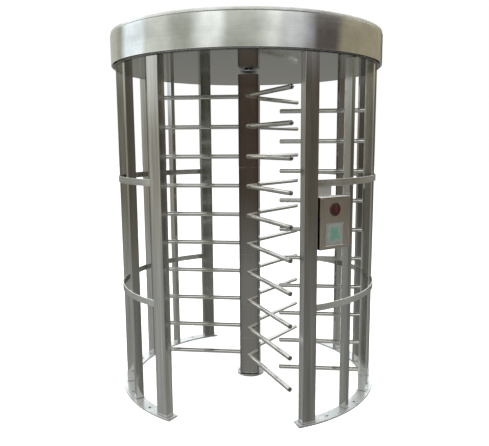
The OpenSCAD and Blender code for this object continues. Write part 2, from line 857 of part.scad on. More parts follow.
// flange with a square spigot that fits in the column's top
module shaft_flange() {
    color([0.4, 0.4, 0.4])
        translate([rotor_x, 0, column_top])
            difference() {
                union() {
                    cylinder(d = shaft_flange_d, h = shaft_flange_t);
                    translate([0, 0, -spigot_h])
                        linear_extrude(spigot_h) square(column_in - 2 * fit_gap, center = true);
                }
                translate([0, 0, -spigot_h - 1])
                    cylinder(r = shaft_r + 0.05, h = shaft_flange_t + spigot_h + 2);
                for (a = [45:90:315])
                    rotate([0, 0, a])
                        translate([flange_bolt_r, 0, -spigot_h - 1])
                            cylinder(r = 5 + screw_gap, h = shaft_flange_t + spigot_h + 2);
            }
}
flange_bolt_r = shaft_flange_d / 2 - 14;

module flange_bolts() {
    color([0.7, 0.7, 0.68])
        translate([rotor_x, 0, column_top])
            for (a = [45:90:315])
                rotate([0, 0, a])
                    translate([flange_bolt_r, 0, 0]) {
                        translate([0, 0, shaft_flange_t]) cylinder(r = 9, h = bolt_head_h, $fn = 6);
                        translate([0, 0, -spigot_h])
                            cylinder(r = 5, h = spigot_h + shaft_flange_t + 0.5);
                    }
}

module bearing_inner_ring() {
    color([0.7, 0.7, 0.72])
        translate([rotor_x, 0, bearing_z]) ring(shaft_r + 0.05, inner_ring_r, bearing_w);
}

module bearing_balls() {
    color([0.8, 0.8, 0.8])
        translate([rotor_x, 0, bearing_z + bearing_w / 2])
            for (i = [0:balls_n - 1])
                rotate([0, 0, i * 360 / balls_n]) translate([ball_pitch_r, 0, 0]) sphere(ball_r);
}

// slotted disc that the sensor forks read
module sensor_disc() {
    color([0.25, 0.25, 0.26])
        translate([rotor_x, 0, 0])
            difference() {
                union() {
                    translate([0, 0, housing_top + 0.5])
                        cylinder(r = inner_ring_r, h = disc_z - housing_top);
                    translate([0, 0, disc_z]) cylinder(d = sensor_disc_d, h = sensor_disc_t);
                }
                translate([0, 0, housing_top]) cylinder(r = shaft_r + 0.05, h = 60);
                for (a = [0:30:330])
                    rotate([0, 0, a])
                        translate([sensor_disc_d / 2 - 12, -4, disc_z - 1]) cube([20, 8, sensor_disc_t + 2]);
            }
}

// notched disc that the pawl locks
module lock_ratchet() {
    hub_z = disc_z + sensor_disc_t;
    color([0.45, 0.45, 0.46])
        translate([rotor_x, 0, 0])
            difference() {
                union() {
                    translate([0, 0, hub_z]) cylinder(r = hub_r, h = ratchet_z - hub_z + 1);
                    translate([0, 0, ratchet_z]) cylinder(r = ratchet_r, h = ratchet_t);
                }
                translate([0, 0, hub_z - 1]) cylinder(r = shaft_r + 0.05, h = 60);
                for (i = [0:notches_n - 1])
                    rotate([0, 0, i * 360 / notches_n])
                        translate([ratchet_r - notch_depth, -notch_w / 2, ratchet_z - 1])
                            cube([notch_depth + 5, notch_w, ratchet_t + 2]);
            }
}

// plate in the column's foot with the pin that turns in the lower bush
module lower_pivot() {
    plate_z = socket_t + socket_boss_h + 12;
    color([0.62, 0.62, 0.6])
        translate([rotor_x, 0, 0]) {
            translate([0, 0, 6.3]) cylinder(d = pivot_d, h = plate_z - 6.3 + 1);
            translate([0, 0, plate_z])
                linear_extrude(12) square(column_in - 2 * fit_gap, center = true);
        }
}

// ---- lock parts that move ----

// pawl, drawn released; its tooth enters a notch when it swings towards the ratchet
module lock_pawl() {
    root_y = pawl_y + pawl_drop - 8;
    color([0.55, 0.54, 0.5])
        translate([rotor_x, 0, pawl_z])
            difference() {
                union() {
                    translate([pawl_x, -pawl_y, 0]) cylinder(r = pawl_boss_r, h = pawl_t);
                    linear_extrude(pawl_t) {
                        polygon([
                            [pawl_x - 8, -pawl_y + 13], [tooth_w / 2, -root_y], [-tooth_w / 2 - 3, -root_y],
                            [-tooth_w / 2 - 3, -tooth_low_y + 0.5], [pawl_x - 5, -arm_low_y]
                        ]);
                        polygon([
                            [-tooth_w / 2, -root_y - 1], [tooth_w / 2, -root_y - 1],
                            [tooth_w / 2 - 1, -tooth_tip_y], [-tooth_w / 2 + 1, -tooth_tip_y]
                        ]);
                    }
                }
                translate([pawl_x, -pawl_y, -1]) cylinder(r = pawl_pin_r + run_gap, h = pawl_t + 2);
            }
}

module solenoid_plunger() {
    r = plunger_d / 2;
    color([0.8, 0.8, 0.8])
        translate([rotor_x + solenoid_x, -push_y - push_gap - r, pawl_z + pawl_t / 2]) {
            sphere(r);
            rotate([90, 0, 0]) cylinder(r = r, h = 52);
        }
}

base_ring_left();
base_ring_right();
end_post_front_left();
end_post_rear_left();
end_post_front_right();
end_post_rear_right();
upright_left_1();
upright_left_2();
upright_left_3();
upright_left_4();
upright_left_5();
upright_right_1();
upright_right_2();
upright_right_3();
upright_right_4();
upright_right_5();
upper_hoop_left();
upper_hoop_right();
lower_hoop_left();
lower_hoop_right();
comb_bars();
comb_caps();
soffit_panel();
canopy_band();
canopy_lid();
canopy_fasteners();
ring_beam();
cross_beams();
head_plate();
bearing_housing();
bearing_outer_ring();
sensor_forks();
pawl_pivot();
solenoid_body();
control_box();
floor_socket();
lower_bush();
box_bracket();
box_case();
box_cover();
lens_bezel();
red_lens();
green_window();
counter_board();
box_screws();
rotor_column();
arms_left();
arms_front_right();
arms_rear_right();
arm_caps();
drive_shaft();
shaft_flange();
flange_bolts();
bearing_inner_ring();
bearing_balls();
sensor_disc();
lock_ratchet();
lower_pivot();
lock_pawl();
solenoid_plunger();
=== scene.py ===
# %% [markdown]
# # A full-height visitor counter turnstile
# This lesson dresses a finished engineering model of a walk-through turnstile: a round cage of
# stainless posts, a drum canopy, a three-wing rotor and a counter box. The engineering model
# arrives as a fixed frame. We leave its shapes alone and add what the eye needs: metal finishes,
# weld beads, lamps, a studio and a camera.

# %% Load the engineering model
import json
import math
import random

import bmesh
import bpy
from mathutils import Matrix, Vector


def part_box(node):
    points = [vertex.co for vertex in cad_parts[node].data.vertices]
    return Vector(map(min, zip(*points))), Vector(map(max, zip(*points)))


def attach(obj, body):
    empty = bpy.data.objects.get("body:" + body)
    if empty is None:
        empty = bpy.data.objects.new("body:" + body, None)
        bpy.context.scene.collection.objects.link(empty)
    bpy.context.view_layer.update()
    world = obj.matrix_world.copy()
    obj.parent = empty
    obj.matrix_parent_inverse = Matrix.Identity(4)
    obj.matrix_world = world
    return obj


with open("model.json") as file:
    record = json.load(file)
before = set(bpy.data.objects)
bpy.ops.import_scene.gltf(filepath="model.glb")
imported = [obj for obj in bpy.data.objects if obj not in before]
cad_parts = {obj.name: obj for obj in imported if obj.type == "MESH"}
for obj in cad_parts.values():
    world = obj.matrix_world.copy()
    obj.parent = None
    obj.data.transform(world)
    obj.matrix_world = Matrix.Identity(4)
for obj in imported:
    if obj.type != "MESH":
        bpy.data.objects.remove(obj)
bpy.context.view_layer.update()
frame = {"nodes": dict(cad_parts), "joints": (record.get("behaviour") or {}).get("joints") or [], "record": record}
nodes = frame["nodes"]

# %% [markdown]
# ## Where things are
# Every place below comes from the model itself. The rotor's axis is the place of its joint. The
# heights of the bars come from the box around one wing, because the bars are evenly spaced.

# %% Measure the frame
joints = {j["name"]: j for j in frame["joints"]}
rotor_x = joints["rotor_spin"]["pos_m"][0]
wing_low, wing_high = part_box("arms_left")
bar_d = wing_high.y - wing_low.y
levels = 10
level_pitch = (wing_high.z - wing_low.z - bar_d) / (levels - 1)
bar_heights = [wing_low.z + bar_d / 2 + i * level_pitch for i in range(levels)]
column_low, column_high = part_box("rotor_column")
half_face = (column_high.x - column_low.x) / 2
print("bar diameter %.3f, pitch %.3f, axis x %.3f" % (bar_d, level_pitch, rotor_x))

# %% [markdown]
# ## The camera
# A person of average height stands a little to the comb side and looks slightly down. The lens
# is a mild telephoto, so upright posts keep nearly the same width from top to bottom. The small
# shift only centres the object in the frame.

# %% Place the camera
# the lens, the eye's place in metres, and which way it looks in degrees
LENS_MM = 40.64
EYE = (0.4217, -3.6556, 1.5606)
TURN_LEFT = 6.42
LOOK_DOWN = 8.53
ROLL = -0.31


def place_camera():
    data = bpy.data.cameras.new("eye_level_camera")
    data.sensor_width = 36.0
    data.lens = LENS_MM
    data.shift_x = -0.0096
    data.shift_y = 0.0120
    data.clip_end = 200.0
    camera = bpy.data.objects.new("eye_level_camera", data)
    bpy.context.scene.collection.objects.link(camera)
    heading = Matrix.Rotation(math.radians(TURN_LEFT), 4, "Z")
    tilt = Matrix.Rotation(math.radians(90.0 - LOOK_DOWN), 4, "X")
    roll = Matrix.Rotation(math.radians(ROLL), 4, "Z")
    place = Matrix.Translation(EYE)
    camera.matrix_world = place @ heading @ tilt @ roll
    bpy.context.scene.camera = camera
    return camera


camera = place_camera()
print("camera at", tuple(round(v, 3) for v in camera.location))

# %% [markdown]
# ## The room that the steel reflects
# Bare metal has almost no colour of its own: it shows the room. So the room is the most
# important part of a metal scene. We build it from four rings of soft panels, one above the
# other: the floor, the walls at eye level, the windows above them, and a bright strip of sky
# far behind the object. Upright posts show the dark walls, the canopy shows the windows, and
# level plates show the sky. The camera itself only sees plain white behind the object, and matt
# things only receive even white light.

# %% Choose the room's panels
# each panel: degrees round the room from the front, and the light that comes from there
FLOOR_RING = [
    (-180, -150, (0.21, 0.21, 0.20)), (-119, -94, (0.37, 0.38, 0.36)),
    (-77, -50, (0.47, 0.48, 0.46)), (-30, -26, (0.36, 0.365, 0.34)),
    (-8, -4, (0.27, 0.275, 0.26)), (14, 18, (0.42, 0.43, 0.40)), (38, 60, (0.24, 0.24, 0.22)),
    (80, 108, (0.355, 0.355, 0.325)), (145, 180, (0.21, 0.21, 0.20)),
]
EYE_RING = [
    (-180, -145, (0.24, 0.235, 0.215)), (-119, -92, (0.36, 0.35, 0.305)),
    (-78, -74, (0.50, 0.485, 0.425)), (-54, -50, (0.40, 0.395, 0.345)),
    (-32, -28, (0.30, 0.285, 0.24)), (-14, 2, (0.09, 0.075, 0.06)), (12, 20, (0.23, 0.22, 0.17)),
    (32, 48, (0.085, 0.075, 0.06)), (56, 60, (0.13, 0.115, 0.09)),
    (72, 104, (0.175, 0.155, 0.125)), (123, 130, (0.26, 0.24, 0.19)),
    (150, 180, (0.24, 0.235, 0.215)),
]
WINDOW_RING = [
    (-180, -161, (0.11, 0.10, 0.08)),    # dark back wall
    (-150, -127, (0.60, 0.61, 0.53)),    # pale wall
    (-121, -117, (0.50, 0.51, 0.44)),    # its corner
    (-107, -85, (1.25, 1.36, 1.44)),     # tall window
    (-80, -60, (0.88, 0.91, 0.85)),      # lit wall beside it
    (-52, -40, (0.56, 0.59, 0.52)),
    (-27, -15, (1.34, 1.40, 1.39)),      # narrow window
    (-8, 14, (0.66, 0.69, 0.62)),
    (26, 30, (1.18, 1.22, 1.18)),        # door left ajar
    (35, 50, (0.87, 0.90, 0.92)),
    (57, 58, (0.50, 0.50, 0.54)),
    (64, 82, (0.13, 0.11, 0.10)),        # dark doorway
    (89, 152, (0.42, 0.38, 0.27)),       # plywood wall
    (163, 180, (0.11, 0.10, 0.08)),
]
SKY_RING = [
    (-180, -125, (1.75, 1.85, 1.90)), (-60, 0, (1.30, 1.33, 1.30)),
    (58, 62, (1.10, 1.10, 1.05)), (125, 180, (1.75, 1.82, 1.86)),
]
# where something dark stands low on the floor: more than 0 hides the bright floor further down
LOW_WALL_RING = [(-180, 28, (0, 0, 0)), (38, 64, (0.4, 0.4, 0.4)), (74, 180, (0, 0, 0))]
# where the windows start higher above the floor: 1 for a high sill, 0 for a low one
SILL_RING = [(-180, -48, (0, 0, 0)), (-36, 66, (1, 1, 1)), (78, 180, (0, 0, 0))]
CEILING_LIGHT = (0.09, 0.085, 0.08)
print("room panels:", len(FLOOR_RING) + len(EYE_RING) + len(WINDOW_RING) + len(SKY_RING))

# %% [markdown]
# ## A helper for node trees
# Shaders and worlds are trees of small nodes. Wiring them by hand takes many lines, so this
# helper adds a node, sets its plain values, and connects the rest.

# %% The node helper
class NodeMaker:
    """Adds nodes to a tree and wires them in the order they are asked for."""

    def __init__(self, tree):
        self.tree = tree
        self.column = 0

    def add(self, kind, **values):
        node = self.tree.nodes.new(kind)
        node.location = (self.column * 180, 0)
        self.column += 1
        for key, value in values.items():
            setattr(node, key, value)
        return node

    def wire(self, source, target):
        self.tree.links.new(source, target)

    def math(self, kind, *values):
        node = self.add("ShaderNodeMath", operation=kind)
        for slot, value in enumerate(values):
            if isinstance(value, (int, float)):
                node.inputs[slot].default_value = value
            else:
                self.wire(value, node.inputs[slot])
        return node.outputs[0]

    def ramp(self, factor, stops):
        node = self.add("ShaderNodeValToRGB")
        ramp = node.color_ramp
        while len(ramp.elements) > 1:
            ramp.elements.remove(ramp.elements[-1])
        ramp.elements[0].position = stops[0][0]
        ramp.elements[0].color = (*stops[0][1], 1.0)
        for position, colour in stops[1:]:
            ramp.elements.new(position).color = (*colour, 1.0)
        self.wire(factor, node.inputs[0])
        return node.outputs[0]

    def mix(self, factor, first, second, blend="MIX"):
        node = self.add("ShaderNodeMix", data_type="RGBA", blend_type=blend)
        for slot, value in ((0, factor), (6, first), (7, second)):
            if isinstance(value, (int, float)):
                node.inputs[slot].default_value = value
            elif isinstance(value, tuple):
                node.inputs[slot].default_value = (*value, 1.0)
            else:
                self.wire(value, node.inputs[slot])
        return node.outputs[2]

    def axes(self, space):
        """The three coordinates of a texture space, one by one."""
        split = self.add("ShaderNodeSeparateXYZ")
        self.wire(self.add("ShaderNodeTexCoord").outputs[space], split.inputs[0])
        return split.outputs


# %% [markdown]
# ## Build the room from its rings
# Each ring is a colour ramp that follows the direction round the room. The height of a
# direction then chooses between the rings, with soft edges between them.

# %% Build the room
def build_room():
    world = bpy.data.worlds.new("studio_room")
    bpy.context.scene.world = world
    world.use_nodes = True
    world.node_tree.nodes.clear()
    make = NodeMaker(world.node_tree)
    x, y, z = make.axes("Generated")
    turn = make.math("ARCTAN2", x, make.math("MULTIPLY", y, -1.0))
    around = make.math("MULTIPLY_ADD", turn, 1.0 / math.tau, 0.5)

    def ring(panels):
        return make.ramp(around, [((edge + 180) / 360, light) for start, end, light in panels
                                  for edge in (start, end)])

    def above(low_degrees, high_degrees):
        low, high = (math.sin(math.radians(v)) * 0.5 + 0.5 for v in (low_degrees, high_degrees))
        height = make.math("MULTIPLY_ADD", z, 0.5, 0.5)
        return make.ramp(height, [(low, (0, 0, 0)), (high, (1, 1, 1))])

    # each pair of numbers is where one ring starts to give way to the next, in degrees up
    wall_foot = make.mix(ring(LOW_WALL_RING), above(-13, -5), above(-19, -11))
    room = make.mix(wall_foot, ring(FLOOR_RING), ring(EYE_RING))
    sill = make.mix(ring(SILL_RING), above(1.5, 6), above(7, 10))
    room = make.mix(sill, room, ring(WINDOW_RING))
    room = make.mix(above(12, 19), room, ring(SKY_RING))
    room = make.mix(above(36, 50), room, CEILING_LIGHT)
    rays = make.add("ShaderNodeLightPath")
    seen = make.mix(rays.outputs["Is Diffuse Ray"], room, (1.0, 1.0, 1.0))
    seen = make.mix(rays.outputs["Is Camera Ray"], seen, (1.0, 1.0, 1.0))
    background = make.add("ShaderNodeBackground")
    make.wire(seen, background.inputs["Color"])
    output = make.add("ShaderNodeOutputWorld")
    make.wire(background.outputs[0], output.inputs[0])
    return world


world = build_room()
bpy.context.scene.view_settings.view_transform = "Standard"
print("room nodes:", len(world.node_tree.nodes))

# %% [markdown]
# ## Floor and lamps
# The floor is a plain pale sheet, bright enough to meet the white background without a seam.
# It is hidden from mirror-like reflections, so the steel shows the room above instead. Three
# wide soft lamps light the floor under the canopy, which would otherwise be a dark pool.

# %% Lay the floor and hang the lamps
def lay_floor():
    half = 40.0
    mesh = bpy.data.meshes.new("studio_floor")
    corners = [(-half, -half, 0), (half, -half, 0), (half, half, 0), (-half, half, 0)]
    mesh.from_pydata(corners, [], [(0, 1, 2, 3)])
    floor = bpy.data.objects.new("studio_floor", mesh)
    bpy.context.scene.collection.objects.link(floor)
    material = bpy.data.materials.new("pale_floor")
    material.use_nodes = True
    shader = material.node_tree.nodes["Principled BSDF"]
    shader.inputs["Roughness"].default_value = 0.9
    shader.inputs["Specular IOR Level"].default_value = 0.0
    shader.inputs["Emission Strength"].default_value = 0.28
    shader.inputs["Emission Color"].default_value = (1.0, 1.0, 1.0, 1.0)
    make = NodeMaker(material.node_tree)
    noise = make.add("ShaderNodeTexNoise")
    noise.inputs["Scale"].default_value = 3.0
    tone = make.ramp(noise.outputs["Fac"], [(0.3, (0.86, 0.86, 0.855)), (0.7, (0.90, 0.90, 0.895))])
    make.wire(tone, shader.inputs["Base Color"])
    mesh.materials.append(material)
    floor.visible_glossy = False


def hang_lamp(name, place, aim, size, power):
    data = bpy.data.lights.new(name, "AREA")
    data.shape = "RECTANGLE"
    data.size, data.size_y = size
    data.energy = power
    lamp = bpy.data.objects.new(name, data)
    lamp.location = place
    lamp.rotation_euler = (Vector(aim) - Vector(place)).to_track_quat("-Z", "Y").to_euler()
    bpy.context.scene.collection.objects.link(lamp)
    lamp.visible_glossy = False


lay_floor()
hang_lamp("overhead_softbox", (0.0, -1.0, 5.0), (0, 0, 0), (7.0, 7.0), 420)
hang_lamp("front_softbox", (-1.6, -5.0, 1.6), (0, 0, 0.4), (3.0, 2.4), 120)
hang_lamp("side_softbox", (5.0, 1.5, 2.0), (0, 0, 0.4), (3.0, 2.4), 90)
print("floor and lamps ready")

# %% [markdown]
# ## Steel finishes
# All the steel is one family, so one function makes every finish. What changes is the tone, how
# rough the polish is, and the direction of the grain. Brushed tube has long fine lines along its
# length, rolled sheet has them around the drum, and a polished bar has short ones across it. A
# slow stain varies the tone, and a finer smudge varies the shine, as hands and wiping leave it.

# %% The steel recipe
def new_material(name):
    material = bpy.data.materials.new(name)
    material.use_nodes = True
    shader = material.node_tree.nodes["Principled BSDF"]
    return material, shader, NodeMaker(material.node_tree)


def scaled_noise(make, scale, detail=3.0, turn=0.0, rough=0.55):
    """Noise in the object's own space, stretched by scale along each axis and turned about Z."""
    where = make.add("ShaderNodeTexCoord").outputs["Object"]
    mapping = make.add("ShaderNodeMapping", vector_type="TEXTURE")
    mapping.inputs["Rotation"].default_value = (0.0, 0.0, turn)
    mapping.inputs["Scale"].default_value = tuple(1.0 / s for s in scale)
    make.wire(where, mapping.inputs["Vector"])
    noise = make.add("ShaderNodeTexNoise")
    noise.inputs["Scale"].default_value = 1.0
    noise.inputs["Detail"].default_value = detail
    noise.inputs["Roughness"].default_value = rough
    make.wire(mapping.outputs[0], noise.inputs["Vector"])
    return noise.outputs["Fac"]


def set_roughness(make, shader, wear, shine, worn=(0.0, 1.0)):
    """Spread a wear value from the range worn over the roughness range shine."""
    spread = make.add("ShaderNodeMapRange")
    spread.inputs["From Min"].default_value, spread.inputs["From Max"].default_value = worn
    spread.inputs["To Min"].default_value, spread.inputs["To Max"].default_value = shine
    make.wire(wear, spread.inputs["Value"])
    make.wire(spread.outputs[0], shader.inputs["Roughness"])


def set_bump(make, shader, height, strength, distance):
    bump = make.add("ShaderNodeBump")
    bump.inputs["Strength"].default_value = strength
    bump.inputs["Distance"].default_value = distance
    make.wire(height, bump.inputs["Height"])
    make.wire(bump.outputs[0], shader.inputs["Normal"])


def steel(name, tone, shine, grain, stain=0.12, scratch=0.04, turn=0.0, cloud=(2.2, 2.2, 1.6)):
    """Brushed or polished steel.

    tone: base colour; shine: lowest and highest roughness; grain: lines per metre on each
    axis; stain: how much the tone varies; scratch: bump strength of the lines; turn: angle of
    the grain round Z; cloud: patches of stain per metre on each axis.
    """
    material, shader, make = new_material(name)
    shader.inputs["Metallic"].default_value = 1.0
    lines = scaled_noise(make, grain, 2.0, turn)
    slow = scaled_noise(make, cloud, 3.0)
    smudge = scaled_noise(make, (16.0, 16.0, 9.0), 5.0)
    dark = tuple(c * (1.0 - stain) for c in tone)
    light = tuple(min(1.0, c * (1.0 + stain * 0.6)) for c in tone)
    colour = make.ramp(slow, [(0.32, dark), (0.68, light)])
    streak = make.ramp(lines, [(0.30, (0.92, 0.92, 0.92)), (0.70, (1.0, 1.0, 1.0))])
    make.wire(make.mix(1.0, colour, streak, "MULTIPLY"), shader.inputs["Base Color"])
    wear = make.math("MULTIPLY_ADD", lines, 0.45, make.math("MULTIPLY", smudge, 0.55))
    set_roughness(make, shader, wear, shine, (0.3, 0.7))
    set_bump(make, shader, lines, scratch, 0.0004)
    return material


# grain and stain patterns: lines or patches per metre along X, Y and Z
ALONG_Z = (260.0, 260.0, 3.0)
AROUND = (3.0, 3.0, 420.0)
ACROSS_X = (320.0, 6.0, 6.0)
ALONG_X = (4.0, 380.0, 4.0)
EVERY_WAY = (120.0, 120.0, 120.0)
STREAKS = (34.0, 34.0, 1.4)
MOTTLE = (9.0, 9.0, 12.0)
post_steel = steel("brushed_post_steel", (0.59, 0.585, 0.57), (0.07, 0.15), ALONG_Z, 0.22,
                   cloud=STREAKS)
# darker and lighter copies of the post steel: painted shade and painted light for single posts
dull_post_steel = steel("dull_post_steel", (0.43, 0.435, 0.42), (0.08, 0.16), ALONG_Z, 0.22,
                        cloud=STREAKS)
bright_post_steel = steel("bright_post_steel", (0.92, 0.92, 0.88), (0.09, 0.17), ALONG_Z, 0.20,
                          cloud=STREAKS)
lid_steel = steel("brushed_lid_steel", (0.80, 0.80, 0.78), (0.22, 0.34), ALONG_X, 0.03, 0.05)
hoop_steel = steel("brushed_hoop_steel", (0.70, 0.71, 0.69), (0.20, 0.36), AROUND, 0.24)
mirror_steel = steel("polished_soffit_steel", (0.56, 0.57, 0.55), (0.05, 0.11), EVERY_WAY, 0.06,
                     0.02)
plate_steel = steel("pickled_plate_steel", (0.72, 0.73, 0.73), (0.20, 0.38), EVERY_WAY, 0.16, 0.15)
box_steel = steel("brushed_box_steel", (0.66, 0.61, 0.55), (0.12, 0.22), ALONG_Z, 0.10)
machine_steel = steel("turned_steel", (0.50, 0.50, 0.49), (0.24, 0.40), AROUND, 0.10)
bearing_steel = steel("ground_bearing_steel", (0.68, 0.68, 0.69), (0.10, 0.20), AROUND, 0.05)
screw_steel = steel("screw_steel", (0.58, 0.58, 0.56), (0.22, 0.36), EVERY_WAY, 0.10)
# lit and shaded copies: the plain bar finish is lighter, a painted sheen for the long highlight that polish
# spreads along a bar
bar_steel = {
    0: steel("polished_bar_steel", (0.80, 0.79, 0.76), (0.05, 0.12), ACROSS_X, 0.10, 0.06),
    -60: steel("polished_bar_steel_front", (0.63, 0.62, 0.59), (0.05, 0.12), ACROSS_X, 0.10, 0.06,
               math.radians(-60)),
    60: steel("polished_bar_steel_rear", (0.63, 0.62, 0.59), (0.05, 0.12), ACROSS_X, 0.10, 0.06,
              math.radians(60)),
}
bracket_steel = steel("satin_bracket_steel", (0.84, 0.85, 0.86), (0.34, 0.44), EVERY_WAY, 0.08)
# darker than the other steel: painted shade on the tube ends
cap_steel = steel("polished_cap_steel", (0.34, 0.33, 0.32), (0.10, 0.20), EVERY_WAY, 0.10, 0.05)
print("steel finishes:", sum(1 for m in bpy.data.materials if "steel" in m.name))

# %% [markdown]
# ## Tones that change along a part
# Some tones change along a part: a tube gets painted shade along its edges, a tray painted shade
# near its rim, and level tops dust with painted top light. We could paint a map for each part, but
# a map must be drawn again whenever the part changes. Instead each helper finds the place on the
# part from its own coordinates, and multiplies the finish's colour by a ramp. This first one follows the height.

# %% Multiply a finish, and tint it by height
def multiply_tone(make, material, tone):
    shader = material.node_tree.nodes["Principled BSDF"]
    old = shader.inputs["Base Color"].links[0].from_socket
    make.wire(make.mix(1.0, old, tone, "MULTIPLY"), shader.inputs["Base Color"])


def tint_by_height(material, low, high, stops):
    make = NodeMaker(material.node_tree)
    above_foot = make.math("SUBTRACT", make.axes("Object")[2], low)
    multiply_tone(make, material, make.ramp(make.math("DIVIDE", above_foot, high - low), stops))


print("height helper ready")

# %% [markdown]
# ## A painted shaded rim
# A round tray needs the distance from its middle: the square root of both coordinates squared
# and added. The ramp then stays white until just inside the rim, and falls to nearly black: painted
# shade where the band shades the tray.

# %% Paint shade on a round rim
def distance_from_axis(make, first, second):
    square = make.math("ADD", make.math("MULTIPLY", first, first),
                       make.math("MULTIPLY", second, second))
    return make.math("SQRT", square)


def darken_rim(material, radius, width):
    make = NodeMaker(material.node_tree)
    x, y, _ = make.axes("Object")
    beyond = make.math("SUBTRACT", distance_from_axis(make, x, y), radius - width)
    multiply_tone(make, material, make.ramp(make.math("DIVIDE", beyond, width), [
        (0.0, (1.0, 1.0, 1.0)), (0.35, (0.75, 0.75, 0.75)),
        (0.6, (0.16, 0.155, 0.14)), (1.0, (0.10, 0.095, 0.085)),
    ]))


print("rim helper ready")

# %% [markdown]
# ## Painted shade along long edges
# On a square tube, the smaller of the two distances from the middle is large only near a long
# edge. The Generated coordinates run from 0 to 1 across the part, so the middle is at 0.5. The
# ramp paints shade along the long edges and a little light down the middle of each face.

# %% Paint shade along the edges of a square tube
def darken_corners(material):
    make = NodeMaker(material.node_tree)
    x, y, _ = make.axes("Generated")
    from_middle = [make.math("ABSOLUTE", make.math("SUBTRACT", side, 0.5)) for side in (x, y)]
    multiply_tone(make, material, make.ramp(make.math("MINIMUM", *from_middle), [
        (0.0, (1.06, 1.02, 1.0)), (0.25, (1.04, 1.01, 1.0)), (0.40, (0.92, 0.92, 0.93)),
        (0.455, (0.55, 0.55, 0.56)), (0.5, (0.45, 0.45, 0.46)),
    ]))


print("edge helper ready")

# %% [markdown]
# ## Dust and painted top light on level tops
# A face's normal says which way it looks. Where it looks up, we mix in a pale colour and take
# some of the metal away: a thin film of dust, which also paints light onto the tops.

# %% Lay dust and painted top light on the faces that look up
def dust_on_top(material, amount):
    make = NodeMaker(material.node_tree)
    shader = material.node_tree.nodes["Principled BSDF"]
    split = make.add("ShaderNodeSeparateXYZ")
    make.wire(make.add("ShaderNodeNewGeometry").outputs["Normal"], split.inputs[0])
    film = make.ramp(split.outputs[2], [(0.55, (0, 0, 0)), (0.90, (amount, amount, amount))])
    old = shader.inputs["Base Color"].links[0].from_socket
    pale = make.ramp(film, [(0.0, (0.84, 0.84, 0.81)), (1.0, (0.90, 0.90, 0.88))])
    make.wire(make.mix(film, old, pale), shader.inputs["Base Color"])
    make.wire(make.math("SUBTRACT", 1.0, film), shader.inputs["Metallic"])


print("dust helper ready")

# %% [markdown]
# ## Column, band, soffit and tops with dust and painted light
# The rotor column is darker and browner towards the top, and plain grey lower down. The canopy
# band gets painted highlights along its top and bottom edges. The soffit tray gets painted shade
# near its rim, where the band shades it. A film of dust with painted top light lies on the counter
# box, on the hoops and on the lid.

# %% Change the finishes in places
# width of the painted shade inside the soffit's rim, where the band shades the tray
SOFFIT_RIM = 0.036
soffit_low, soffit_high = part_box("soffit_panel")
darken_rim(mirror_steel, (soffit_high.x - soffit_low.x) / 2, SOFFIT_RIM)
# dust that also paints light on the up-facing faces of the box, hoops and lid
for finish, amount in ((box_steel, 0.8), (hoop_steel, 0.5), (lid_steel, 0.25)):
    dust_on_top(finish, amount)
column_steel = steel("brushed_column_steel", (0.56, 0.555, 0.54), (0.07, 0.15), ALONG_Z, 0.12)
# darker and browner towards the top
tint_by_height(column_steel, column_low.z, column_high.z, [
    (0.00, (1.00, 1.00, 1.00)), (0.45, (0.98, 0.98, 0.97)), (0.70, (0.92, 0.87, 0.83)),
    (1.00, (0.80, 0.69, 0.63)),
])
# painted shade along the column's long edges, a little painted light down each face
darken_corners(column_steel)
sheet_steel = steel("brushed_band_steel", (0.69, 0.69, 0.665), (0.06, 0.13), AROUND, 0.14,
                    cloud=MOTTLE)
band_low, band_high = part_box("canopy_band")
# painted highlights: a lighter strip along the band's bottom edge and a lighter top edge
tint_by_height(sheet_steel, band_low.z, band_high.z, [
    (0.00, (1.05, 1.05, 1.03)), (0.020, (1.05, 1.05, 1.03)), (0.035, (0.93, 0.93, 0.93)),
    (0.50, (0.90, 0.90, 0.90)), (0.84, (0.93, 0.93, 0.93)), (1.00, (1.00, 1.00, 1.00)),
])
print("column tinted over", round(column_high.z, 3), "m")

# %% [markdown]
# ## The other materials
# Paint, moulded plastic, bronze, lamp plastic and circuit board are not metal mirrors, so each
# gets a plain shader with its own fine texture: orange peel in the paint, a soft grain in the
# plastic, and a mottled tone in the bronze.

# %% Paint, plastic, bronze and board
def coated(name, tone, shine, grain, bump_depth, metallic=0.0, variation=0.12):
    material, shader, make = new_material(name)
    shader.inputs["Metallic"].default_value = metallic
    fine = scaled_noise(make, (grain, grain, grain), 4.0)
    slow = scaled_noise(make, (5.0, 5.0, 5.0), 3.0)
    dark = tuple(c * (1.0 - variation) for c in tone)
    light = tuple(min(1.0, c * (1.0 + variation)) for c in tone)
    make.wire(make.ramp(slow, [(0.3, dark), (0.7, light)]), shader.inputs["Base Color"])
    set_roughness(make, shader, slow, shine)
    set_bump(make, shader, fine, bump_depth, 0.0005)
    return material


primer = coated("grey_primer", (0.30, 0.30, 0.30), (0.45, 0.65), 300.0, 0.2)
casting = coated("painted_casting", (0.16, 0.16, 0.17), (0.45, 0.70), 140.0, 0.5)
bronze = coated("bush_bronze", (0.62, 0.42, 0.20), (0.25, 0.45), 220.0, 0.15, 1.0)
black_plastic = coated("black_plastic", (0.03, 0.03, 0.032), (0.35, 0.55), 500.0, 0.15)
coil_paint = coated("black_coil_paint", (0.04, 0.04, 0.045), (0.30, 0.50), 260.0, 0.2)
grey_coat = coated("grey_powder_coat", (0.20, 0.21, 0.22), (0.45, 0.62), 420.0, 0.3)
board_green = coated("board_green", (0.03, 0.16, 0.07), (0.30, 0.50), 200.0, 0.2)
print("coatings ready")

# %% [markdown]
# ## The counter box's lamp and window
# The lamp is a dark red lens with moulded rings, so that its light spreads to the sides. The
# window is milky plastic over a green display. Both patterns are drawn in the box's own
# directions, which we get by turning the object's coordinates to the box's angle.

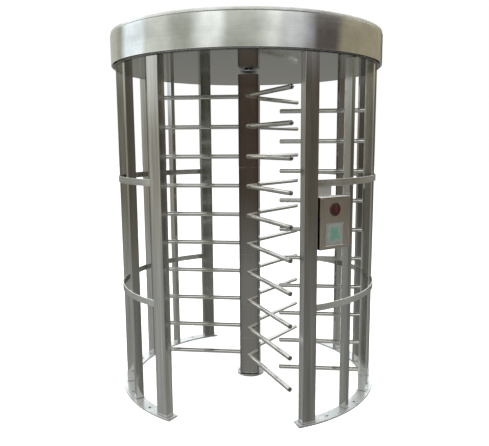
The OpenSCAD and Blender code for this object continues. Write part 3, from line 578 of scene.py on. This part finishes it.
# %% Lens and window finishes
LENS_RING_PITCH = 0.0042
LENS_RADIUS = 0.030
WINDOW_REACH = 0.050
lens_low, lens_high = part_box("red_lens")
lens_centre = (lens_low + lens_high) / 2
window_low, window_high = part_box("green_window")
window_centre = (window_low + window_high) / 2
box_turn = math.atan2(window_centre.y, window_centre.x)


def face_place(make, centre, turn):
    """Coordinates on a box face: across and up from a centre, in metres."""
    where = make.add("ShaderNodeTexCoord").outputs["Object"]
    mapping = make.add("ShaderNodeMapping", vector_type="TEXTURE")
    mapping.inputs["Location"].default_value = centre
    mapping.inputs["Rotation"].default_value = (0.0, 0.0, turn)
    make.wire(where, mapping.inputs["Vector"])
    split = make.add("ShaderNodeSeparateXYZ")
    make.wire(mapping.outputs[0], split.inputs[0])
    return mapping.outputs[0], split.outputs[1], split.outputs[2]


def lens_finish():
    material, shader, make = new_material("dark_red_lens")
    _, across, up = face_place(make, lens_centre, box_turn)
    radius = distance_from_axis(make, across, up)
    rings = make.math("SINE", make.math("MULTIPLY", radius, math.tau / LENS_RING_PITCH))
    tone = make.ramp(make.math("DIVIDE", radius, LENS_RADIUS), [
        (0.0, (0.034, 0.008, 0.007)), (0.45, (0.026, 0.007, 0.006)), (1.0, (0.014, 0.005, 0.005)),
    ])
    make.wire(tone, shader.inputs["Base Color"])
    set_roughness(make, shader, scaled_noise(make, (60.0, 60.0, 60.0), 4.0), (0.12, 0.30))
    set_bump(make, shader, rings, 0.35, 0.0006)
    shader.inputs["Specular IOR Level"].default_value = 0.15
    return material


def window_finish():
    material, shader, make = new_material("milky_green_window")
    place, across, up = face_place(make, window_centre, box_turn)
    noise = make.add("ShaderNodeTexNoise")
    noise.inputs["Scale"].default_value = 26.0
    noise.inputs["Detail"].default_value = 3.0
    make.wire(place, noise.inputs["Vector"])
    wide = make.math("DIVIDE", make.math("ABSOLUTE", across), WINDOW_REACH)
    tall = make.math("DIVIDE", make.math("ABSOLUTE", up), WINDOW_REACH)
    edge = make.math("MAXIMUM", wide, tall)
    wobble = make.math("MULTIPLY_ADD", noise.outputs["Fac"], 1.1, -0.55)
    reach = make.math("ADD", edge, wobble)
    tone = make.ramp(reach, [
        (0.30, (0.044, 0.108, 0.076)), (0.62, (0.062, 0.104, 0.082)),
        (0.86, (0.115, 0.122, 0.108)), (1.0, (0.090, 0.093, 0.084)),
    ])
    make.wire(tone, shader.inputs["Base Color"])
    make.wire(tone, shader.inputs["Emission Color"])
    shader.inputs["Emission Strength"].default_value = 0.06
    set_roughness(make, shader, noise.outputs["Fac"], (0.25, 0.45))
    set_bump(make, shader, scaled_noise(make, (500.0, 500.0, 500.0), 2.0), 0.1, 0.0003)
    return material


red_lens = lens_finish()
green_window = window_finish()
bezel_plastic = coated("dark_red_bezel", (0.022, 0.009, 0.008), (0.22, 0.40), 420.0, 0.2)
print("box faces %.1f degrees round" % math.degrees(box_turn))

# %% [markdown]
# ## Dress every part
# The record says which material slot each part belongs to. One table turns a slot into a
# finish, and a second, shorter one holds the parts that differ from the rest of their slot,
# such as wings whose polish runs across their own direction.

# %% Put the finishes on the parts
FINISH_OF_SLOT = {
    "floor_plate": plate_steel, "post_steel": post_steel, "hoop_steel": hoop_steel,
    "bar_steel": bar_steel[0], "canopy_steel": sheet_steel, "soffit_steel": mirror_steel,
    "frame_steel": primer, "housing_iron": casting, "bearing_steel": bearing_steel,
    "bronze": bronze, "machine_steel": machine_steel, "column_steel": column_steel,
    "black_plastic": black_plastic, "coil_case": coil_paint, "box_grey": grey_coat,
    "box_steel": box_steel, "bezel_metal": bezel_plastic, "red_lamp": red_lens,
    "green_panel": green_window, "board_green": board_green, "screw_steel": screw_steel,
}
FINISH_OF_PART = {
    "arms_front_right": bar_steel[-60], "arms_rear_right": bar_steel[60],
    "arm_caps": cap_steel, "comb_caps": cap_steel, "canopy_lid": lid_steel,
    # the drive shaft gets black paint: painted shade for the dark gap under the canopy
    "box_bracket": bracket_steel, "drive_shaft": coil_paint,
    # posts whose tone carries painted shade and painted light
    "end_post_rear_left": dull_post_steel, "upright_right_1": dull_post_steel,
    "upright_right_2": bright_post_steel,
}
slot_of = {part["node"]: part["material_slot"] for part in frame["record"]["subparts"]}
for name, node in nodes.items():
    finish = FINISH_OF_PART.get(name, FINISH_OF_SLOT[slot_of[name]])
    if not node.material_slots:
        node.data.materials.append(finish)
    for place in node.material_slots:
        place.material = finish
print("dressed", len(nodes), "parts in", len(set(slot_of.values())), "slots")

# %% [markdown]
# ## Soft edges
# A real edge is never perfectly sharp: a folded tube has a small radius that catches a thin
# line of light. The model's own mesh must stay as it is, so the radius comes from modifiers,
# which work on a copy. Weld joins the split corners, Bevel rounds them, and Weighted Normal
# keeps the wide faces looking flat.

# %% Round the edges
EDGE_RADIUS = {
    "end_post": 0.0030, "upright": 0.0028, "rotor_column": 0.0024, "hoop": 0.0010,
    "base_ring": 0.0012, "box_case": 0.0012, "box_cover": 0.0012, "box_bracket": 0.0008,
    "canopy_band": 0.0010, "canopy_lid": 0.0012, "floor_socket": 0.0010,
    "bearing_housing": 0.0012, "shaft_flange": 0.0010, "control_box": 0.0015,
}


def soften(node, radius):
    weld = node.modifiers.new("join_corners", "WELD")
    weld.merge_threshold = 0.00001
    bevel = node.modifiers.new("edge_radius", "BEVEL")
    bevel.width = radius
    bevel.segments = 2
    bevel.limit_method = "ANGLE"
    bevel.angle_limit = math.radians(40)
    bevel.use_clamp_overlap = True
    normals = node.modifiers.new("flat_faces", "WEIGHTED_NORMAL")
    normals.keep_sharp = False


softened = 0
for name, node in nodes.items():
    for key, radius in EDGE_RADIUS.items():
        if key in name:
            soften(node, radius)
            softened += 1
            break
print("softened", softened, "parts")

# %% [markdown]
# ## Weld beads
# The cage is welded: each post has a bead round its foot, each bar has one round its root, and
# the hoops are tacked to the uprights. A bead is a row of small overlapping puddles. We sweep a
# ring of points along a path and let its size swell and shrink a little, which gives the
# scalloped look of a hand-run weld.

# %% The bead maker
def add_bead(mesh, path, radius, closed, ripple=0.006, sides=8, dice=random.Random(7)):
    """Sweeps a rippled tube along a path of points into a bmesh."""
    count = len(path)
    links = count if closed else count - 1
    lengths = [(path[(i + 1) % count] - path[i]).length for i in range(links)]
    total = sum(lengths)
    steps = max(4, int(total / (ripple / 3)))
    rings = []
    for step in range(steps if closed else steps + 1):
        target = total * step / steps
        index = 0
        while index < len(lengths) - 1 and target > lengths[index]:
            target -= lengths[index]
            index += 1
        start, end = path[index], path[(index + 1) % count]
        along = (end - start).normalized()
        centre = start + along * min(target, lengths[index])
        side = along.cross(Vector((0, 0, 1)))
        side = side.normalized() if side.length > 0.1 else along.orthogonal().normalized()
        other = along.cross(side)
        wave = 1.0 + 0.16 * math.sin(math.tau * step / 3) + dice.uniform(-0.08, 0.08)
        size = radius * wave
        rings.append([
            mesh.verts.new(centre + side * size * math.cos(a) + other * size * math.sin(a))
            for a in (math.tau * k / sides for k in range(sides))
        ])
    pairs = zip(rings, rings[1:] + rings[:1]) if closed else zip(rings, rings[1:])
    for first, second in pairs:
        for k in range(sides):
            corners = (first[k], first[(k + 1) % sides], second[(k + 1) % sides], second[k])
            mesh.faces.new(corners).smooth = True
    if not closed:
        mesh.faces.new(list(reversed(rings[0])))
        mesh.faces.new(rings[-1])


def finish_piece(name, mesh, material, body):
    bmesh.ops.recalc_face_normals(mesh, faces=mesh.faces)
    data = bpy.data.meshes.new(name)
    mesh.to_mesh(data)
    mesh.free()
    data.materials.append(material)
    piece = bpy.data.objects.new(name, data)
    bpy.context.scene.collection.objects.link(piece)
    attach(piece, body)
    return piece


FOOT_BEAD = 0.0032
ROOT_BEAD = 0.0026
TACK_BEAD = 0.0024
bead_steel = steel("weld_bead_steel", (0.46, 0.45, 0.43), (0.26, 0.46), EVERY_WAY, 0.22, 0.3)
print("bead maker ready")

# %% [markdown]
# ## Beads round the feet of the posts
# The outline of each foot comes from the post's own lowest corners, so the bead follows the
# tube exactly, whatever angle the post stands at.

# %% Foot beads
def foot_outline(node):
    """The corners of a post's foot, in order round it."""
    low = min(v.co.z for v in node.data.vertices)
    points = sorted({(round(v.co.x, 5), round(v.co.y, 5)) for v in node.data.vertices
                     if v.co.z < low + 0.0005})
    hull = []
    for pass_points in (points, points[::-1]):
        side = []
        for p in pass_points:
            while len(side) > 1 and ((side[-1][0] - side[-2][0]) * (p[1] - side[-2][1])
                                     - (side[-1][1] - side[-2][1]) * (p[0] - side[-2][0])) <= 0:
                side.pop()
            side.append(p)
        hull += side[:-1]
    return [Vector((x, y, low)) for x, y in hull]


posts = sorted(n for n in nodes if n.startswith(("upright_", "end_post_")))
beads = bmesh.new()
for name in posts:
    add_bead(beads, foot_outline(nodes[name]), FOOT_BEAD, True)
foot_beads = finish_piece("foot_weld_beads", beads, bead_steel, "cage")
print("foot beads:", len(posts), "posts,", len(foot_beads.data.vertices), "points")

# %% [markdown]
# ## Beads round the roots of the bars
# A round bar that meets a flat face at an angle leaves an oval joint. We get the oval by sliding
# each point of the bar's circle along the bar until it reaches the face.

# %% Root beads
def root_oval(axis_point, direction, face_point, face_normal, radius, points=20):
    upward = Vector((0, 0, 1))
    side = direction.cross(upward).normalized()
    oval = []
    for k in range(points):
        turn = math.tau * k / points
        rim = axis_point + side * radius * math.cos(turn) + upward * radius * math.sin(turn)
        slide = (face_point - rim).dot(face_normal) / direction.dot(face_normal)
        oval.append(rim + direction * slide)
    return oval


axis = Vector((rotor_x, 0, 0))
WINGS = {"left": (180, (-1, 0, 0)), "front": (-60, (0, -1, 0)), "rear": (60, (0, 1, 0))}
beads = bmesh.new()
for angle, normal in WINGS.values():
    turn = math.radians(angle)
    direction = Vector((math.cos(turn), math.sin(turn), 0))
    for height in bar_heights:
        centre = axis + Vector((0, 0, height))
        face = centre + Vector(normal) * half_face
        oval = root_oval(centre, direction, face, Vector(normal), bar_d / 2)
        add_bead(beads, oval, ROOT_BEAD, True)
wing_beads = finish_piece("wing_root_beads", beads, bead_steel, "rotor")

comb_low, comb_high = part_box("comb_bars")
comb_heights = [comb_low.z + bar_d / 2 + i * level_pitch for i in range(levels)]
beads = bmesh.new()
for height in comb_heights:
    centre = Vector((comb_high.x, 0, height))
    oval = root_oval(centre, Vector((-1, 0, 0)), centre, Vector((-1, 0, 0)), bar_d / 2)
    add_bead(beads, oval, ROOT_BEAD, True)
comb_beads = finish_piece("comb_root_beads", beads, bead_steel, "cage")
print("root beads:", 3 * levels, "on the column,", levels, "on the comb post")

# %% [markdown]
# ## Tacks that hold the hoops
# Each hoop lies on the outer faces of the uprights. A short bead above and below fixes it to
# each one. The uprights' angles come from where they stand.

# %% Hoop tacks
TACK_LENGTH = 0.026
TACK_POINTS = 5
tacks = 0
beads = bmesh.new()
for side in ("left", "right"):
    for level in ("upper", "lower"):
        hoop = nodes["%s_hoop_%s" % (level, side)]
        inner = min(math.hypot(v.co.x, v.co.y) for v in hoop.data.vertices)
        low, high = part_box(hoop.name)
        for number in range(1, 6):
            post_low, post_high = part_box("upright_%s_%d" % (side, number))
            centre = (post_low + post_high) / 2
            angle = math.atan2(centre.y, centre.x)
            for z in (low.z, high.z):
                arc = []
                for k in range(TACK_POINTS):
                    a = angle + (k / (TACK_POINTS - 1) - 0.5) * TACK_LENGTH / inner
                    arc.append(Vector((inner * math.cos(a), inner * math.sin(a), z)))
                add_bead(beads, arc, TACK_BEAD, False)
                tacks += 1
hoop_beads = finish_piece("hoop_tack_beads", beads, bead_steel, "cage")
print("hoop tacks:", tacks)

# %% [markdown]
# ## Painted shade in the anchor holes
# The base plates have empty anchor holes. A drilled hole looks dark because light that goes in
# doesn't come out, so a small disc of painted shade on the floor under each one stands in for it.

# %% Painted shade under the holes
HOLE_RADIUS = 0.0085
HOLE_INSET = 0.036
HOLE_ANGLES = (-49.5, -31, -10, 10, 31, 49.5)
HOLE_POINTS = 24
ABOVE_FLOOR = 0.0008


def drilled_holes():
    mesh = bmesh.new()
    plate_out = max(math.hypot(v.co.x, v.co.y) for v in nodes["base_ring_right"].data.vertices)
    ring = plate_out - HOLE_INSET
    for side in (0, 180):
        for angle in HOLE_ANGLES:
            turn = math.radians(side + angle)
            centre = Vector((ring * math.cos(turn), ring * math.sin(turn), ABOVE_FLOOR))
            rim = []
            for k in range(HOLE_POINTS):
                a = math.tau * k / HOLE_POINTS
                across = Vector((HOLE_RADIUS * math.cos(a), HOLE_RADIUS * math.sin(a), 0))
                rim.append(mesh.verts.new(centre + across))
            mesh.faces.new(rim)
    data = bpy.data.meshes.new("drilled_floor_holes")
    mesh.to_mesh(data)
    mesh.free()
    data.materials.append(coated("dark_hole", (0.02, 0.02, 0.02), (0.8, 0.95), 100.0, 0.2))
    holes = bpy.data.objects.new("drilled_floor_holes", data)
    bpy.context.scene.collection.objects.link(holes)
    return holes


holes = drilled_holes()
print("drilled holes:", len(holes.data.polygons))
